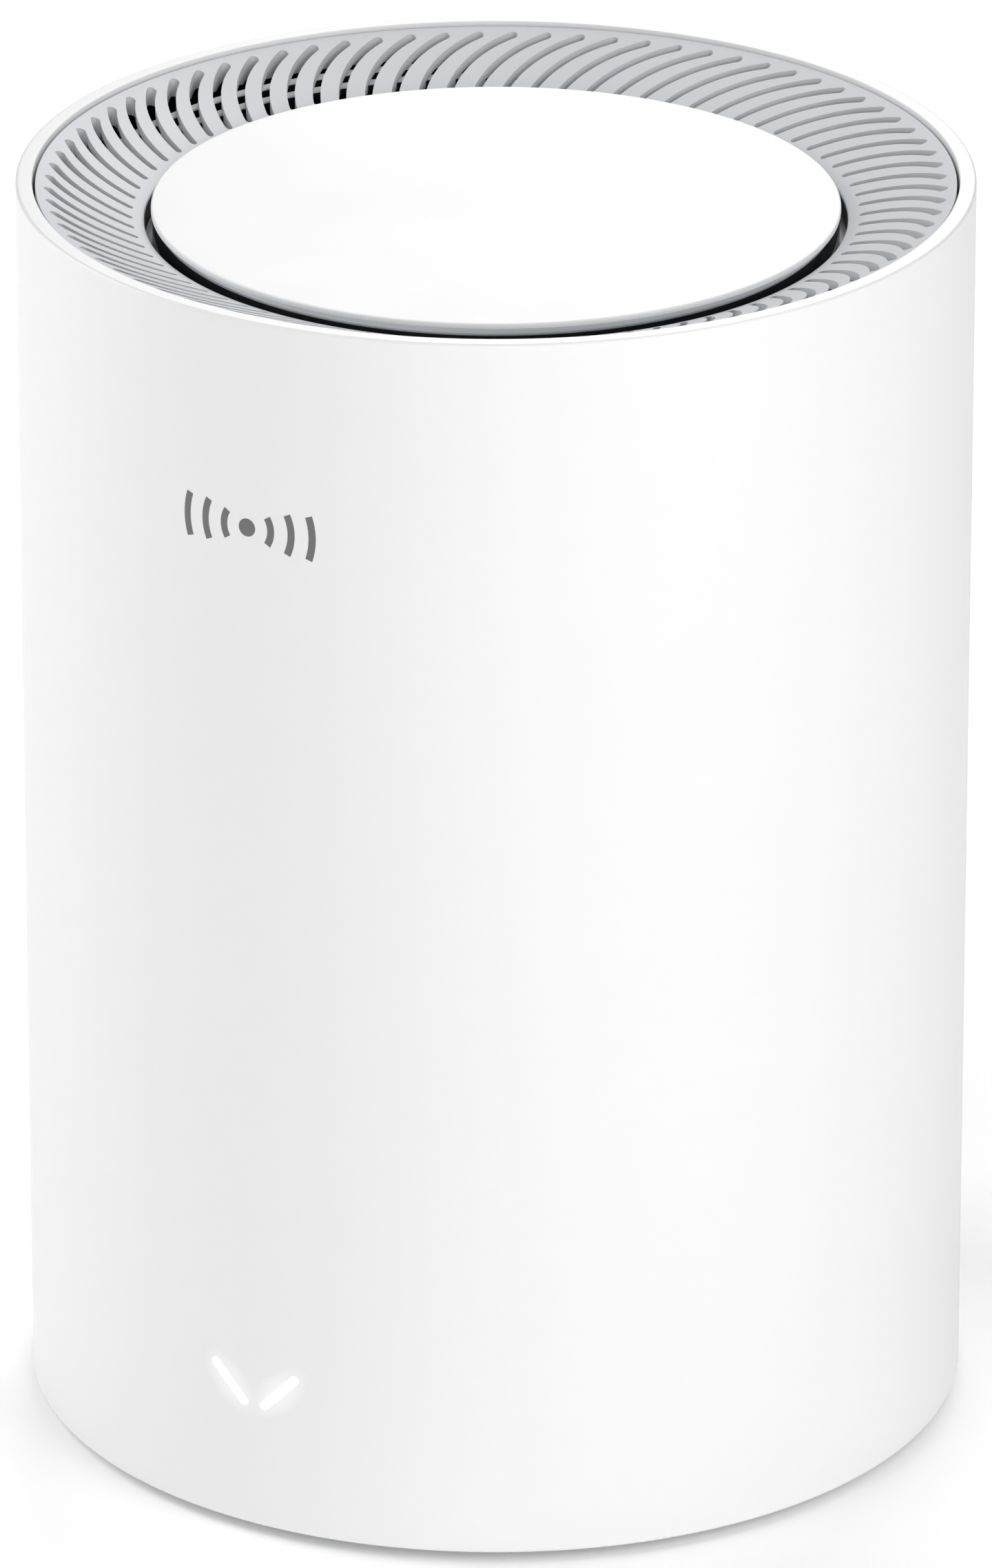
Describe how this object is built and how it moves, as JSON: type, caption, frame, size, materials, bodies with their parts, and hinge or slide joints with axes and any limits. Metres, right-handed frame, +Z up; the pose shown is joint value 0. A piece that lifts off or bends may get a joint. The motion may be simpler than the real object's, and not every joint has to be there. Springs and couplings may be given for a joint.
{
  "type": "mesh wifi node",
  "caption": "White cylindrical tabletop mesh wifi node with a swirl vent in its sunken top, a status light low on the front and a rear port recess.",
  "frame": {"origin": "centre of the base on the table plane, on the cylinder's axis, at the bottom of the rubber feet", "axes": "+Z up along the cylinder's axis, -Y towards the front with the status light, +Y towards the rear ports, +X to the right seen from the front"},
  "size_m": [0.108, 0.108, 0.147],
  "materials": {
    "white_abs": "satin moulded white ABS/PC",
    "grey_vent_abs": "matt moulded cool grey ABS",
    "light_grey_abs": "fine matt moulded light grey ABS",
    "frame_plastic": "moulded dark grey ABS",
    "foot_rubber": "moulded soft grey rubber",
    "zinc_steel": "zinc or nickel plated steel",
    "heatsink_aluminium": "extruded and blasted",
    "board_laminate": "green solder-masked glass laminate",
    "black_plastic": "black moulded plastic",
    "thermal_pad": "soft filled silicone",
    "contact_brass": "gold plated phosphor bronze",
    "light_plastic": "diffusing clear polycarbonate, lit white"
  },
  "bodies": {
    "root": {"outer_shell": "white_abs", "vent_grille": "grey_vent_abs", "vent_hoops": "light_grey_abs", "top_cap": "white_abs", "base_cover": "light_grey_abs", "rubber_foot_1": "foot_rubber", "rubber_foot_2": "foot_rubber", "rubber_foot_3": "foot_rubber", "rubber_foot_4": "foot_rubber", "base_screw_1": "zinc_steel", "base_screw_2": "zinc_steel", "base_screw_3": "zinc_steel", "base_screw_4": "zinc_steel", "inner_frame": "frame_plastic", "main_board": "board_laminate", "board_screw_1": "zinc_steel", "board_screw_2": "zinc_steel", "board_screw_3": "zinc_steel", "board_screw_4": "zinc_steel", "processor_shield": "zinc_steel", "radio_shield": "zinc_steel", "processor_chip": "black_plastic", "radio_chip": "black_plastic", "processor_pad": "thermal_pad", "radio_pad": "thermal_pad", "rear_pad": "thermal_pad", "front_heatsink": "heatsink_aluminium", "rear_heatsink": "heatsink_aluminium", "antenna_front_left": "board_laminate", "antenna_front_right": "board_laminate", "antenna_rear_left": "board_laminate", "antenna_rear_right": "board_laminate", "antenna_lead_front_left": "black_plastic", "antenna_lead_front_right": "black_plastic", "antenna_lead_rear_left": "black_plastic", "antenna_lead_rear_right": "black_plastic", "antenna_plug_front_left": "contact_brass", "antenna_plug_front_right": "contact_brass", "antenna_plug_rear_left": "contact_brass", "antenna_plug_rear_right": "contact_brass", "port_bezel": "light_grey_abs", "wan_jack_shield": "zinc_steel", "wan_jack_insert": "black_plastic", "wan_jack_contacts": "contact_brass", "lan_jack_shield": "zinc_steel", "lan_jack_insert": "black_plastic", "lan_jack_contacts": "contact_brass", "power_inlet_body": "black_plastic", "power_inlet_pin": "zinc_steel", "pair_button_switch": "black_plastic", "reset_button_switch": "black_plastic", "light_pipe": "light_plastic", "light_board": "board_laminate", "status_lamp_left": "light_plastic", "status_lamp_right": "light_plastic", "status_light_lead": "black_plastic"},
    "pair_button": {"pair_button": "white_abs", "pair_button_plunger": "black_plastic"},
    "reset_button": {"reset_button": "black_plastic", "reset_button_plunger": "black_plastic"}
  },
  "joints": [
    {"name": "pair_button_press", "type": "slide", "parent": "root", "child": "pair_button", "axis": [0, -1, 0], "range_m": [0, 0.0008], "stiffness_N_per_m": 1500},
    {"name": "reset_button_press", "type": "slide", "parent": "root", "child": "reset_button", "axis": [0, -1, 0], "range_m": [0, 0.0005], "stiffness_N_per_m": 1500}
  ]
}
